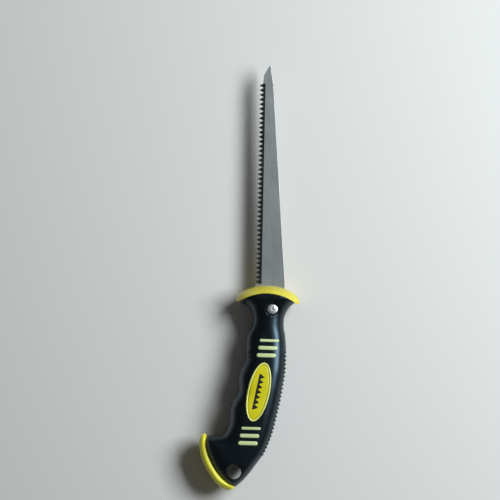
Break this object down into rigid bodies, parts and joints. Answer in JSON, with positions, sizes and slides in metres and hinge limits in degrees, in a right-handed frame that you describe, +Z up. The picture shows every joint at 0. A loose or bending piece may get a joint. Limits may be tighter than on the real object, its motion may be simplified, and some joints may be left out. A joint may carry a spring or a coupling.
{
  "type": "drywall saw",
  "caption": "Pointed drywall saw with a tapered toothed blade screwed into a curved two-part plastic handle with a soft grip, a guard and a hooked heel with a hang hole.",
  "frame": {"origin": "middle of the whole saw's box, on the surface that it lies on when it rests flat on its side", "axes": "+Y along the blade to its point, +X towards the smooth back of the blade, +Z up through the thickness"},
  "size_m": [0.0704, 0.2886, 0.028],
  "materials": {
    "steel_blade": "satin, brushed lengthwise",
    "bright_screw": "bright zinc",
    "dark_washer": "phosphate",
    "zinc_nut": "zinc plated",
    "pin_steel": "ground",
    "core_plastic": "moulded",
    "yellow_plastic": "moulded, semi-gloss",
    "soft_grip": "satin, soft",
    "badge_plastic": "moulded, semi-gloss",
    "lime_plastic": "moulded, satin"
  },
  "bodies": {
    "root": {"blade": "steel_blade", "blade_screw": "bright_screw", "lock_washer": "dark_washer", "blade_nut": "zinc_nut", "tang_pin": "pin_steel", "core_front_shell": "core_plastic", "core_rear_shell": "core_plastic", "guard_lip": "yellow_plastic", "heel_cap": "yellow_plastic", "grip_overmould": "soft_grip", "front_badge": "badge_plastic", "rear_badge": "badge_plastic", "front_upper_bars": "lime_plastic", "front_lower_bars": "lime_plastic", "rear_upper_bars": "lime_plastic", "rear_lower_bars": "lime_plastic"}
  },
  "joints": []
}
